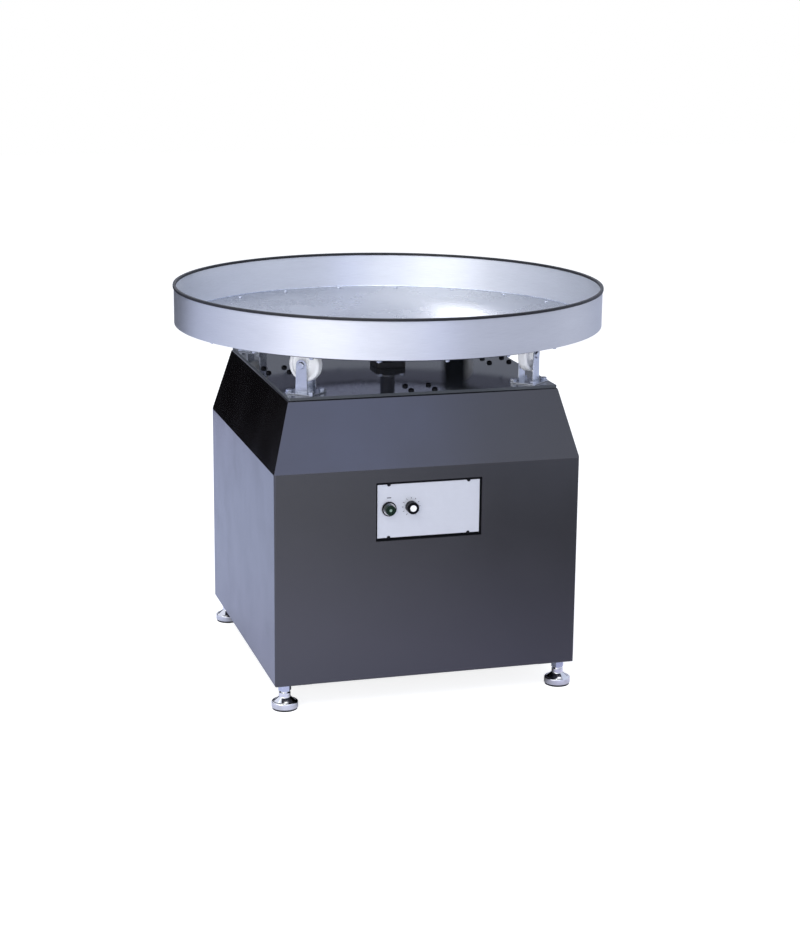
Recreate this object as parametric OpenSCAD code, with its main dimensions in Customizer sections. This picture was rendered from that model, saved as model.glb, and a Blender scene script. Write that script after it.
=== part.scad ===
// Accumulation table: a rimmed turntable that runs on four upturned casters
// and is driven from a cabinet with sloped shoulders.
// Origin on the floor under the table's axis, +Z up, front towards -Y.

/* [Turntable] */
// Outside diameter of the rim band
table_d = 914.4; // [880:0.1:1000]
// Thickness of the round table plate
disc_t = 3; // [2:0.5:6]
// Sheet thickness of the rim band
rim_t = 2.5; // [1.5:0.5:4]
// Height of the rim band above the table plate
rim_h = 77.5; // [40:0.5:120]
// Thickness of the track ring that runs on the casters
track_t = 5; // [4:0.5:8]
// Width of the track ring
track_w = 140; // [130:1:160]
// Height of the edge trim on the rim
trim_h = 5.5; // [4:0.5:8]
// Wall of the edge trim on each side of the rim
trim_wall = 2; // [1:0.5:3]
// Number of screws round the plate's edge
rim_screws = 20; // [12:4:28]
// Diameter of the plate's edge screws
rim_screw_d = 5; // [4:1:6]

/* [Cabinet] */
// Width and depth of the square cabinet
cabinet_w = 648; // [620:1:700]
// Height of the upright walls
wall_h = 446; // [400:1:520]
// Height of the sloped shoulders, with the deck plate
slope_h = 147.6; // [120:0.1:180]
// How far each shoulder leans in
slope_in = 40.2; // [30:0.1:50]
// Thickness of the cabinet's sheet
sheet_t = 2; // [1.5:0.5:3]
// Inside radius of the sheet's bends
bend_r = 1.5; // [1:0.5:3]
// Width of the lip along the bottom edge
lip_w = 22; // [16:1:30]
// Width of the flange under the deck plate
flange_w = 26; // [25:1:32]
// Thickness of the deck plate
deck_t = 6; // [4:1:10]

/* [Feet] */
// Height of the cabinet above the floor
foot_h = 55; // [52:1:70]
// Diameter of a foot's base
foot_d = 55; // [45:1:60]
// Distance from a foot's axis to the cabinet's faces
foot_inset = 26; // [22:1:36]
// Diameter of a foot's stud
stud_d = 16; // [12:1:18]
// Thickness of the corner plates that take the studs
corner_plate_t = 8; // [6:1:12]
// Side of the corner plates
corner_plate_w = 76; // [64:1:90]

/* [Casters] */
// Diameter of a caster wheel
wheel_d = 70; // [60:1:75]
// Width of a caster wheel's tread
wheel_w = 20; // [16:1:26]
// Height of the wheel's axle above the deck
axle_h = 58.6; // [50:0.1:70]
// Diameter of the wheel's axle pin
axle_d = 10; // [8:1:12]
// Distance from a caster's middle to the deck's two edges
caster_inset = 45.7; // [45.7:0.1:60]
// Distance between the two legs of a fork
fork_gap = 30; // [28:1:36]
// Thickness of a fork's legs and plate
fork_t = 3; // [2.5:0.5:4]
// Side of the caster plate along the axle
caster_plate_l = 62; // [60:1:63]
// Side of the caster plate across the axle
caster_plate_w = 66; // [65:1:67]
// Hole spacing of the caster plate along the axle
caster_hole_l = 45; // [44:1:45]
// Hole spacing of the caster plate across the axle
caster_hole_w = 50; // [48:1:50]
// Distance from the middle of a spare hole set to the deck's edge
spare_inset = 38; // [34:1:60]

/* [Drive] */
// Diameter of the drive shaft
shaft_d = 20; // [16:1:24]
// Diameter of the hub's long boss
hub_boss_d = 31; // [28:1:40]
// Diameter of the hub's flange under the table plate
hub_flange_d = 120; // [100:1:160]
// Thickness of the hub's flange
hub_flange_t = 8; // [6:1:12]
// Side of the square bearing housing
housing_w = 66; // [64:1:76]
// Height of the bearing housing
housing_h = 18; // [16:1:24]
// Spacing of the housing's four bolts
housing_bolt_gap = 48; // [47:1:49]
// Diameter of the housing's and the gear case's bolts
drive_bolt_d = 8; // [6:1:8]
// Diameter of the shaft coupling
coupling_d = 55; // [50:1:60]
// Gear module of the reducer
gear_module = 1.5; // [1.25:0.25:1.5]
// Teeth of the pinion on the rotor
pinion_teeth = 18; // [18:1:20]
// Teeth of the gear on the output shaft
gear_teeth = 72; // [60:4:72]
// Outside diameter of the motor
motor_d = 104; // [90:1:110]
// Length of the motor
motor_h = 200; // [170:1:210]

/* [Controls] */
// Width of the control plate
control_w = 217.5; // [190:0.5:230]
// Height of the control plate
control_h = 112; // [100:1:130]
// Distance from the bend below the shoulder down to the control plate's middle
control_drop = 89.5; // [88:0.5:150]
// Depth of the control plate behind the front face
control_depth = 5; // [4:0.5:7]
// Diameter of the push button's bezel
bezel_d = 30; // [26:1:32]
// How far the push button stands out from the plate
button_out = 16; // [10:1:20]
// Travel of the push button
button_travel = 4; // [2:0.5:5]
// Diameter of the speed knob
knob_d = 25; // [20:1:30]
// How far the speed knob stands out from the plate
knob_out = 17; // [14:1:22]

/* [Hidden] */
$fn = 64;

// Corner signs of the four feet and the four casters.
FRONT_LEFT = [-1, -1];
FRONT_RIGHT = [1, -1];
REAR_LEFT = [-1, 1];
REAR_RIGHT = [1, 1];
CORNERS = [FRONT_LEFT, FRONT_RIGHT, REAR_LEFT, REAR_RIGHT];

// Clearances: cuts run past a face by over, and turning fits have run_fit all round.
over = 1;
run_fit = 0.08;
bolt_fit = 0.25;
weld_gap = 0.2;
roll_gap = 0.3;
bend_steps = 5;

// Proportions of hexagon bolts and nuts, as shares of the bolt's diameter.
hex_af_share = 1.6;
bolt_head_share = 0.64;
nut_h_share = 0.8;
bolt_tail_share = 0.25;
// Proportions of an axle pin's heads, as shares of the pin's diameter.
pin_head_share = 1.5;
pin_head_h_share = 0.3;
// Proportions of button-head screws, as shares of the screw's diameter.
button_d_share = 1.9;
button_h_share = 0.55;
button_crown_share = 0.8;
socket_af_share = 0.6;
socket_depth_share = 0.3;

// Heights, from the floor up.
half_w = cabinet_w / 2;
shoulder_z = foot_h + wall_h;
deck_z = shoulder_z + slope_h;
deck_low = deck_z - deck_t;
deck_half = half_w - slope_in;
lean = slope_in / slope_h;
axle_z = deck_z + axle_h;
track_low = axle_z + wheel_d / 2 + roll_gap;
disc_low = track_low + track_t;
disc_top = disc_low + disc_t;
rim_top = disc_top + rim_h;

// Turntable.
rim_in_r = table_d / 2 - rim_t;
disc_r = rim_in_r - weld_gap;
track_inset = 14.7;
track_r = rim_in_r - track_inset;
rim_screw_r = track_r - 2 * rim_screw_d;
trim_cap = 1.5;
trim_round = 1.5;
edge_chamfer = 0.5;

// Feet.
pad_t = 4;
pad_shrink = 1.5;
base_side_h = 13;
base_round = 3;
base_shelf = 4.5;
cone_h = 9;
neck_d = 24;
neck_h = 9;
lock_nut_h = 16;
lock_nut_af = 24;
weld_nut_h = 13;
stud_tail = 8;
foot_at = half_w - foot_inset;
stud_top = foot_h + corner_plate_t + weld_nut_h + stud_tail;

// Casters.
caster_at = deck_half - caster_inset;
wheel_rim_t = 8;
wheel_web_w = 10;
wheel_hub_d = 24;
wheel_side_gap = 0.4;
wheel_round = 5;
leg_foot_w = 28;
leg_top_w = 24;
plate_corner_r = 6;
caster_bolt_d = 8;
spare_head_d = 12;
spare_head_h = 5;
spare_tail = 3;
spare_at = deck_half - spare_inset;

// Bearing, shaft and hub.
housing_base_h = 13;
housing_corner_r = 10;
housing_boss_d = 50;
outer_ring_d = 42;
outer_ring_h = 13;
inner_ring_d = 30;
inner_ring_rise = 3.6;
inner_ring_h = 19;
deck_hole_d = 38;
hub_gap = 1.8;
shaft_top_gap = 2;
hub_stud_d = 8;
hub_stud_pcd = 88;
housing_top = deck_z + housing_h;
inner_ring_top = housing_top + inner_ring_rise;
hub_boss_low = inner_ring_top + hub_gap;

// Shaft coupling, hung below the deck.
coupling_drop = 24.6;
coupling_hub_h = 25;
jaw_h = 12;
jaw_in_d = 28;
spider_leg_w = 6;
spider_bore = 22;
jaw_gap = 0.2;
shaft_end_gap = 1;
coupling_top = deck_low - coupling_drop;
coupling_low = coupling_top - 2 * coupling_hub_h - jaw_h;
jaw_low = coupling_low + coupling_hub_h;

// Motor bracket.
bracket_t = 6;
bracket_gap = 5;
bracket_half_x = 90;
bracket_hole_d = 40;
bracket_edge = 10;
bracket_low = coupling_low - bracket_gap - bracket_t;

// Gear case and motor.
pressure_angle = 20;
flank_steps = 3;
tooth_slack = 0.1;
addendum_share = 1;
dedendum_share = 1.25;
gear_distance = gear_module * (pinion_teeth + gear_teeth) / 2;
case_wall = 8;
case_top_t = 10;
case_cavity_h = 40;
case_cover_t = 10;
case_corner_r = 12;
case_half_x = 72;
case_front = 70;
case_bolt_inset = 14;
case_boss_d = 20;
case_margin = 4;
case_rear = gear_distance + motor_d / 2 + case_margin;
case_mid = (case_rear - case_front) / 2;
case_bolt_x = 2 * (case_half_x - case_bolt_inset);
case_bolt_y = case_rear + case_front - 2 * case_bolt_inset;
case_top = bracket_low;
cavity_top = case_top - case_top_t;
cavity_low = cavity_top - case_cavity_h;
cover_low = cavity_low - case_cover_t;
gear_w = 16;
pinion_w = 20;
gear_lift = 12;
rotor_shaft_d = 14;
rotor_d = 60;
rotor_gap = 0.6;
rotor_h = 120;
motor_end_t = 12;
journal_h = 6;
lead_boss_d = 22;
lead_boss_rise = 15;
lead_boss_len = 12;
motor_low = cover_low - motor_h;

// Controls, set back behind the front face.
window_side_gap = 3.75;
window_top_gap = 5.5;
window_w = control_w + 2 * window_side_gap;
window_h = control_h + 2 * window_top_gap;
gasket_border = 10;
control_plate_t = 1.5;
enclosure_wall = 2;
enclosure_depth = 70;
control_mid = shoulder_z - control_drop;
plate_face = control_depth - half_w;
enclosure_face = plate_face + control_plate_t;
enclosure_back = enclosure_face + enclosure_depth;
enclosure_low = control_mid - window_h / 2 - gasket_border;
button_x = -84.4;
button_lift = 5;
button_z = control_mid + button_lift;
button_d = 21;
bezel_rise = 5;
bezel_wall = 1.3;
bezel_tail = 12;
button_tail = 8;
button_stem_d = 8;
button_dish_d = 11;
button_dish = 1.2;
contact_w = 26;
contact_h = 30;
contact_l = 24;
knob_x = -37.4;
knob_lift = 7;
knob_z = control_mid + knob_lift;
knob_gap = 0.5;
knob_flutes = 18;
knob_flute_d = 1.6;
knob_hollow_d = 15;
knob_hollow = 4;
knob_spindle_d = 6;
cap_d = 13.5;
cap_t = 1.2;
cap_seat = 0.4;
pot_d = 24;
pot_h = 12;
pot_bush_d = 9.8;
pot_bush_rise = 2;
board_w = 150;
board_h = 90;
board_t = 1.6;
board_x = 30;
board_post_h = 6;
board_post_d = 8;
heatsink_w = 60;
heatsink_h = 50;
heatsink_base = 3;
heatsink_fin = 14;
heatsink_fins = 6;
heatsink_fin_t = 2;
capacitor_d = 16;
capacitor_h = 24;
panel_screw_d = 4;
panel_screw_head = 7.6;
panel_screw_head_h = 2.2;
panel_screw_len = 6;
panel_notch_d = 5.2;
control_screw_share = 0.39;
control_screw_x = 2 * control_w * control_screw_share;

// Rear of the cabinet.
cover_w = 280;
cover_h = 200;
cover_t = 1.5;
cover_z = 255;
cover_lap = 16;
cover_corner_r = 8;
vent_w = 150;
vent_h = 6;
vent_gap = 16;
vent_round_share = 0.48;
vents = 7;
gland_x = 80;
gland_z = 110;
gland_d = 16;
gland_af = 24;
gland_nut_h = 5;
gland_hex_h = 8;
gland_dome_h = 14;
gland_dome_d = 20;
gland_dome_r = 3;
gland_bore = 10.4;
gland_bore_len = 22;

// Leads inside the cabinet.
lead_d = 9;
supply_lead_d = 10;
motor_bend = 35;
supply_bend = 50;
lead_y = (enclosure_face + enclosure_back) / 2;
motor_lead_z = motor_low + lead_boss_rise;

// Helpers.

function polar(r, a) = [r * cos(a), r * sin(a)];

function unit(v) = v / norm(v);

function cross_z(a, b) = a.x * b.y - a.y * b.x;

// Arc that replaces the corner p1 of an outline; a zero radius keeps it sharp.
function corner_arc(p0, p1, p2, r, steps) =
    r == 0 ? [p1] :
    let (a = unit(p0 - p1), b = unit(p2 - p1), half = acos(a * b) / 2)
    let (centre = p1 + unit(a + b) * r / sin(half))
    let (from = p1 + a * r / tan(half) - centre, to = p1 + b * r / tan(half) - centre)
    let (start = atan2(from.y, from.x), turn = sign(cross_z(from, to)) * (180 - 2 * half))
    [for (i = [0 : steps]) centre + polar(r, start + turn * i / steps)];

// Outline with each corner rounded by its own radius.
function rounded(points, radii, steps = bend_steps) =
    let (count = len(points))
    [for (i = [0 : count - 1])
        let (before = points[(i + count - 1) % count], after = points[(i + 1) % count])
        each corner_arc(before, points[i], after, radii[i], steps)];

// Outline of a rectangle about its middle, with rounded corners.
function round_rect(w, h, r) =
    let (x = w / 2, y = h / 2)
    rounded([[x, y], [-x, y], [-x, -y], [x, -y]], [r, r, r, r]);

// Places children at a corner of a square, turned to face outwards along the diagonal.
module at_corner(corner, distance) {
    translate([corner.x * distance, corner.y * distance, 0])
        rotate([0, 0, atan2(corner.y, corner.x)])
            children();
}

// Turns children from facing +Z to facing the front, at a point of the front.
module facing_front(x, y, z) {
    translate([x, y, z])
        rotate([90, 0, 0])
            children();
}

// Turns children from facing +Z to facing the rear.
module facing_rear(x, y, z) {
    translate([x, y, z])
        rotate([-90, 0, 0])
            children();
}

module hexagon(af, h) {
    cylinder(h = h, r = af / 2 / cos(30), $fn = 6);
}

// Hexagon bolt seated at zero, head up, shank down.
module hex_bolt(d, length) {
    hexagon(d * hex_af_share, d * bolt_head_share);
    translate([0, 0, -length])
        cylinder(h = length + d * bolt_head_share / 2, d = d);
}

// Hexagon nut whose seat is at zero, hanging down.
module hex_nut(d) {
    translate([0, 0, -d * nut_h_share])
        hexagon(d * hex_af_share, d * nut_h_share);
}

// Bolt with its nut round plates of the given total thickness.
module bolt_and_nut(d, grip) {
    hex_bolt(d, grip + d * (nut_h_share + bolt_tail_share));
    translate([0, 0, -grip])
        hex_nut(d);
}

// Pin along Z with a low round head against each side of plates of the given total thickness.
module headed_pin(d, grip) {
    head_r = d * pin_head_share / 2;
    head_h = d * pin_head_h_share;
    crown = head_h * button_crown_share;
    rotate_extrude()
        polygon(rounded([
            [0, -grip / 2 - head_h],
            [head_r, -grip / 2 - head_h],
            [head_r, -grip / 2],
            [d / 2, -grip / 2],
            [d / 2, grip / 2],
            [head_r, grip / 2],
            [head_r, grip / 2 + head_h],
            [0, grip / 2 + head_h]
        ], [0, crown, 0, 0, 0, 0, crown, 0]));
}

// Screw with a crowned head and a hexagon socket, seated at zero, head up.
module button_screw(d, head_d, head_h, length) {
    difference() {
        union() {
            rotate_extrude()
                polygon(rounded([[0, 0], [head_d / 2, 0], [head_d / 2, head_h], [0, head_h]],
                    [0, 0, head_h * button_crown_share, 0]));
            translate([0, 0, -length])
                cylinder(h = length + head_h / 2, d = d);
        }
        translate([0, 0, head_h - d * socket_depth_share])
            hexagon(d * socket_af_share, d * socket_depth_share + over);
    }
}

// Children repeated at the four corners of a rectangle.
module at_rectangle(w, h) {
    for (x = [-w / 2, w / 2], y = [-h / 2, h / 2])
        translate([x, y, 0])
            children();
}

module ring(outer_d, inner_d, h) {
    difference() {
        cylinder(h = h, d = outer_d);
        translate([0, 0, -over])
            cylinder(h = h + 2 * over, d = inner_d);
    }
}

// Cabinet.

// Cross-section of a wall: bottom lip, upright, shoulder and top flange.
function wall_outline() =
    let (skew = sheet_t * sqrt(1 + lean * lean))
    let (top_out = half_w - lean * (deck_low - shoulder_z))
    let (top_in = half_w - lean * (deck_low - sheet_t - shoulder_z) - skew)
    let (outer = bend_r + sheet_t)
    rounded([
        [half_w, foot_h],
        [half_w, shoulder_z],
        [top_out, deck_low],
        [top_out - flange_w, deck_low],
        [top_out - flange_w, deck_low - sheet_t],
        [top_in, deck_low - sheet_t],
        [half_w - sheet_t, shoulder_z - (skew - sheet_t) / lean],
        [half_w - sheet_t, foot_h + sheet_t],
        [half_w - lip_w, foot_h + sheet_t],
        [half_w - lip_w, foot_h]
    ], [outer, outer, outer, 0, 0, bend_r, bend_r, bend_r, 0, 0]);

// Plan that keeps one wall of the four: mitred at 45 degrees, with the cabinet's vertical edges rounded.
function wall_plan() =
    let (r = bend_r + sheet_t, centre = half_w - r)
    let (arc = [for (i = [0 : bend_steps]) [centre, centre] + polar(r, 45 * i / bend_steps)])
    [[0, 0], for (i = [bend_steps : -1 : 0]) [arc[i].x, -arc[i].y], [cabinet_w, -centre],
        [cabinet_w, centre], each arc];

// Holes for the four casters and for the spare sets between them.
module caster_holes(h) {
    for (corner = CORNERS)
        at_corner(corner, caster_at)
            at_rectangle(caster_hole_l, caster_hole_w)
                cylinder(h = h, d = caster_bolt_d + bolt_fit);
    for (facing = [0 : 90 : 270])
        rotate([0, 0, facing])
            translate([spare_at, 0, 0])
                at_rectangle(caster_hole_l, caster_hole_w)
                    cylinder(h = h, d = caster_bolt_d + bolt_fit);
}

// One bent wall, mitred to its neighbours and notched over the corner plates.
module wall(facing) {
    notch = corner_plate_w + sheet_t + weld_gap;
    rotate([0, 0, facing])
        difference() {
            intersection() {
                rotate([90, 0, 0])
                    linear_extrude(height = cabinet_w, center = true)
                        polygon(wall_outline());
                linear_extrude(height = deck_z)
                    polygon(wall_plan());
            }
            for (side = [-1, 1])
                translate([half_w - sheet_t - notch / 2, side * (half_w - notch / 2), foot_h - over])
                    linear_extrude(height = over + sheet_t + bend_r)
                        square([notch, notch], center = true);
            translate([0, 0, deck_low - sheet_t - over])
                caster_holes(sheet_t + 2 * over);
        }
}

module front_panel() {
    color([0.21, 0.21, 0.24])
        difference() {
            wall(-90);
            facing_front(0, -half_w + sheet_t + over, control_mid)
                linear_extrude(height = sheet_t + 2 * over)
                    square([window_w, window_h], center = true);
        }
}

module rear_panel() {
    opening_w = cover_w - 2 * cover_lap;
    opening_h = cover_h - 2 * cover_lap;
    color([0.21, 0.21, 0.24])
        difference() {
            wall(90);
            facing_rear(0, half_w - sheet_t - over, cover_z)
                linear_extrude(height = sheet_t + 2 * over)
                    square([opening_w, opening_h], center = true);
            facing_rear(0, half_w - sheet_t - over, cover_z)
                at_rectangle(cover_w - cover_lap, cover_h - cover_lap)
                    cylinder(h = sheet_t + 2 * over, d = panel_screw_d + bolt_fit);
            facing_rear(gland_x, half_w - sheet_t - over, gland_z)
                cylinder(h = sheet_t + 2 * over, d = gland_d + bolt_fit);
        }
}

module left_panel() {
    color([0.19, 0.19, 0.22])
        wall(180);
}

module right_panel() {
    color([0.19, 0.19, 0.22])
        wall(0);
}

module deck_plate() {
    hole_h = deck_t + 2 * over;
    color([0.26, 0.27, 0.31])
        difference() {
            translate([0, 0, deck_low])
                linear_extrude(height = deck_t)
                    polygon(round_rect(2 * deck_half, 2 * deck_half, bend_r));
            translate([0, 0, deck_low - over]) {
                cylinder(h = hole_h, d = deck_hole_d);
                at_rectangle(housing_bolt_gap, housing_bolt_gap)
                    cylinder(h = hole_h, d = drive_bolt_d + bolt_fit);
                caster_holes(hole_h);
            }
        }
}

// Plates welded into the bottom corners, each with a weld nut for the foot's stud.
module corner_plates() {
    nut_top = corner_plate_t + weld_nut_h;
    side = half_w - sheet_t - corner_plate_w / 2;
    color([0.25, 0.25, 0.27])
        for (corner = CORNERS)
            difference() {
                union() {
                    translate([corner.x * side, corner.y * side, foot_h])
                        linear_extrude(height = corner_plate_t)
                            square([corner_plate_w, corner_plate_w], center = true);
                    translate([corner.x * foot_at, corner.y * foot_at, foot_h + corner_plate_t])
                        hexagon(lock_nut_af, weld_nut_h);
                }
                translate([corner.x * foot_at, corner.y * foot_at, foot_h - over])
                    cylinder(h = nut_top + 2 * over, d = stud_d + 2 * run_fit);
            }
}

// Feet.

module foot(corner) {
    base_top = pad_t + base_side_h;
    cone_top = base_top + cone_h;
    base_r = foot_d / 2;
    neck_r = neck_d / 2;
    color([0.82, 0.83, 0.85])
        translate([corner.x * foot_at, corner.y * foot_at, 0])
            rotate_extrude()
                polygon(rounded([
                    [0, pad_t],
                    [base_r, pad_t],
                    [base_r, base_top],
                    [base_r - base_shelf, base_top],
                    [neck_r, cone_top],
                    [neck_r, cone_top + neck_h],
                    [stud_d / 2, cone_top + neck_h],
                    [stud_d / 2, stud_top],
                    [0, stud_top]
                ], [0, edge_chamfer, base_round, base_round, base_round, edge_chamfer, 0, edge_chamfer, 0]));
}

module foot_pad(corner) {
    pad_r = foot_d / 2 - pad_shrink;
    color([0.12, 0.12, 0.12])
        translate([corner.x * foot_at, corner.y * foot_at, 0])
            rotate_extrude()
                polygon(rounded([[0, 0], [pad_r, 0], [pad_r, pad_t], [0, pad_t]], [0, edge_chamfer, 0, 0]));
}

module foot_front_left() {
    foot(FRONT_LEFT);
}

module foot_front_right() {
    foot(FRONT_RIGHT);
}

module foot_rear_left() {
    foot(REAR_LEFT);
}

module foot_rear_right() {
    foot(REAR_RIGHT);
}

module foot_pad_front_left() {
    foot_pad(FRONT_LEFT);
}

module foot_pad_front_right() {
    foot_pad(FRONT_RIGHT);
}

module foot_pad_rear_left() {
    foot_pad(REAR_LEFT);
}

module foot_pad_rear_right() {
    foot_pad(REAR_RIGHT);
}

module foot_lock_nuts() {
    color([0.8, 0.81, 0.83])
        for (corner = CORNERS)
            translate([corner.x * foot_at, corner.y * foot_at, foot_h - lock_nut_h])
                difference() {
                    hexagon(lock_nut_af, lock_nut_h);
                    translate([0, 0, -over])
                        cylinder(h = lock_nut_h + 2 * over, d = stud_d + 2 * run_fit);
                }
}

// Casters, with the axle along the diagonal.

// Tapered leg with a round end about the axle, standing on the caster plate.
module fork_leg() {
    rise = axle_h - fork_t;
    end_r = leg_top_w / 2;
    translate([0, 0, fork_t])
        rotate([90, 0, 90])
            linear_extrude(height = fork_t, center = true)
                union() {
                    polygon([[-leg_foot_w / 2, -fork_t / 2], [leg_foot_w / 2, -fork_t / 2],
                        [end_r, rise], [-end_r, rise]]);
                    translate([0, rise])
                        circle(r = end_r);
                }
}

module caster_fork(corner) {
    leg_at = (fork_gap + fork_t) / 2;
    color([0.78, 0.8, 0.84])
        translate([0, 0, deck_z])
            at_corner(corner, caster_at)
                difference() {
                    union() {
                        linear_extrude(height = fork_t)
                            polygon(round_rect(caster_plate_l, caster_plate_w, plate_corner_r));
                        for (side = [-1, 1])
                            translate([side * leg_at, 0, 0])
                                fork_leg();
                    }
                    translate([-caster_plate_l, 0, axle_h])
                        rotate([0, 90, 0])
                            cylinder(h = 2 * caster_plate_l, d = axle_d + bolt_fit);
                    translate([0, 0, -over])
                        at_rectangle(caster_hole_l, caster_hole_w)
                            cylinder(h = fork_t + 2 * over, d = caster_bolt_d + bolt_fit);
                }
}

module caster_wheel(corner) {
    wheel_r = wheel_d / 2;
    hub_half = fork_gap / 2 - wheel_side_gap;
    bore_r = axle_d / 2 + run_fit;
    color([0.9, 0.91, 0.93])
        translate([0, 0, axle_z])
            at_corner(corner, caster_at)
                rotate([0, 90, 0])
                    rotate_extrude()
                        polygon(rounded([
                            [bore_r, -hub_half],
                            [wheel_hub_d / 2, -hub_half],
                            [wheel_hub_d / 2, -wheel_web_w / 2],
                            [wheel_r - wheel_rim_t, -wheel_web_w / 2],
                            [wheel_r - wheel_rim_t, -wheel_w / 2],
                            [wheel_r, -wheel_w / 2],
                            [wheel_r, wheel_w / 2],
                            [wheel_r - wheel_rim_t, wheel_w / 2],
                            [wheel_r - wheel_rim_t, wheel_web_w / 2],
                            [wheel_hub_d / 2, wheel_web_w / 2],
                            [wheel_hub_d / 2, hub_half],
                            [bore_r, hub_half]
                        ], [0, edge_chamfer, 2 * edge_chamfer, 2 * edge_chamfer, edge_chamfer, wheel_round,
                            wheel_round, edge_chamfer, 2 * edge_chamfer, 2 * edge_chamfer, edge_chamfer, 0]));
}

module caster_fork_front_left() {
    caster_fork(FRONT_LEFT);
}

module caster_fork_front_right() {
    caster_fork(FRONT_RIGHT);
}

module caster_fork_rear_left() {
    caster_fork(REAR_LEFT);
}

module caster_fork_rear_right() {
    caster_fork(REAR_RIGHT);
}

module caster_wheel_front_left() {
    caster_wheel(FRONT_LEFT);
}

module caster_wheel_front_right() {
    caster_wheel(FRONT_RIGHT);
}

module caster_wheel_rear_left() {
    caster_wheel(REAR_LEFT);
}

module caster_wheel_rear_right() {
    caster_wheel(REAR_RIGHT);
}

// Axle pins through the forks, and the bolts of the caster plates; the outer two pass a wall's flange.
module caster_fasteners() {
    color([0.72, 0.73, 0.76])
        for (corner = CORNERS) {
            translate([0, 0, axle_z])
                at_corner(corner, caster_at)
                    rotate([0, 90, 0])
                        headed_pin(axle_d, fork_gap + 2 * fork_t);
            translate([0, 0, deck_z + fork_t])
                at_corner(corner, caster_at)
                    for (x = [-1, 1], y = [-1, 1])
                        translate([x * caster_hole_l / 2, y * caster_hole_w / 2, 0])
                            bolt_and_nut(caster_bolt_d, fork_t + deck_t + max(x, 0) * sheet_t);
        }
}

// Black screws that close the caster holes at the middle of the deck's sides.
module spare_hole_screws() {
    length = deck_t + sheet_t + spare_tail;
    color([0.08, 0.08, 0.09])
        for (facing = [0 : 90 : 270])
            rotate([0, 0, facing])
                translate([spare_at, 0, deck_z])
                    at_rectangle(caster_hole_l, caster_hole_w)
                        button_screw(caster_bolt_d, spare_head_d, spare_head_h, length);
}

// Bearing.

module bearing_housing() {
    color([0.1, 0.1, 0.11])
        translate([0, 0, deck_z])
            difference() {
                union() {
                    linear_extrude(height = housing_base_h)
                        polygon(round_rect(housing_w, housing_w, housing_corner_r));
                    cylinder(h = housing_h, d = housing_boss_d);
                }
                translate([0, 0, -over])
                    cylinder(h = housing_h + 2 * over, d = outer_ring_d + weld_gap);
                translate([0, 0, -over])
                    at_rectangle(housing_bolt_gap, housing_bolt_gap)
                        cylinder(h = housing_base_h + 2 * over, d = drive_bolt_d + bolt_fit);
            }
}

module bearing_outer_ring() {
    color([0.6, 0.61, 0.63])
        translate([0, 0, housing_top - outer_ring_h])
            ring(outer_ring_d, inner_ring_d + 2 * run_fit, outer_ring_h);
}

module bearing_inner_ring() {
    color([0.66, 0.67, 0.69])
        translate([0, 0, inner_ring_top - inner_ring_h])
            ring(inner_ring_d, shaft_d + run_fit, inner_ring_h);
}

// The bolts of the bearing housing and those that hang the gear case from its bracket.
module drive_bolts() {
    color([0.5, 0.51, 0.53]) {
        translate([0, 0, deck_z + housing_base_h])
            at_rectangle(housing_bolt_gap, housing_bolt_gap)
                bolt_and_nut(drive_bolt_d, housing_base_h + deck_t);
        translate([0, case_mid, bracket_low + bracket_t])
            at_rectangle(case_bolt_x, case_bolt_y)
                bolt_and_nut(drive_bolt_d, bracket_low + bracket_t - cover_low);
    }
}

// Shaft and hub.

module drive_shaft() {
    low = jaw_low + jaw_h + shaft_end_gap;
    color([0.7, 0.71, 0.73])
        translate([0, 0, low])
            cylinder(h = disc_low - shaft_top_gap - low, d = shaft_d);
}

module hub_flange() {
    flange_low = disc_low - hub_flange_t;
    color([0.5, 0.51, 0.53])
        difference() {
            union() {
                translate([0, 0, flange_low])
                    cylinder(h = hub_flange_t, d = hub_flange_d);
                translate([0, 0, hub_boss_low])
                    cylinder(h = disc_low - hub_boss_low, d = hub_boss_d);
            }
            translate([0, 0, hub_boss_low - over])
                cylinder(h = disc_low - hub_boss_low + 2 * over, d = shaft_d + run_fit);
            for (i = [0 : 3])
                rotate([0, 0, i * 90])
                    translate([hub_stud_pcd / 2, 0, flange_low - over])
                        cylinder(h = hub_flange_t + 2 * over, d = hub_stud_d + bolt_fit);
        }
}

// Studs welded to the table plate, with their nuts under the hub's flange.
module hub_studs() {
    tail = hub_stud_d * (nut_h_share + bolt_tail_share);
    color([0.6, 0.61, 0.63])
        for (i = [0 : 3])
            rotate([0, 0, i * 90])
                translate([hub_stud_pcd / 2, 0, disc_low - hub_flange_t]) {
                    hex_nut(hub_stud_d);
                    translate([0, 0, -tail])
                        cylinder(h = tail + hub_flange_t, d = hub_stud_d);
                }
}

// Shaft coupling.

// Hub with three jaws; the wedges cut between them leave room for two of the spider's legs each.
module coupling_hub(first_gap) {
    back = spider_leg_w + 2 * jaw_gap;
    reach = coupling_d;
    spread = (reach + back) * tan(30);
    difference() {
        cylinder(h = coupling_hub_h + jaw_h, d = coupling_d);
        translate([0, 0, -over])
            cylinder(h = coupling_hub_h + 2 * over, d = shaft_d + run_fit);
        translate([0, 0, coupling_hub_h]) {
            cylinder(h = jaw_h + over, d = jaw_in_d);
            for (i = [0 : 2])
                rotate([0, 0, first_gap + i * 120])
                    linear_extrude(height = jaw_h + over)
                        polygon([[-back, 0], [reach, spread], [reach, -spread]]);
        }
    }
}

module coupling_hubs() {
    color([0.55, 0.56, 0.58]) {
        translate([0, 0, coupling_low])
            coupling_hub(0);
        translate([0, 0, coupling_top])
            mirror([0, 0, 1])
                coupling_hub(60);
    }
}

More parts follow.
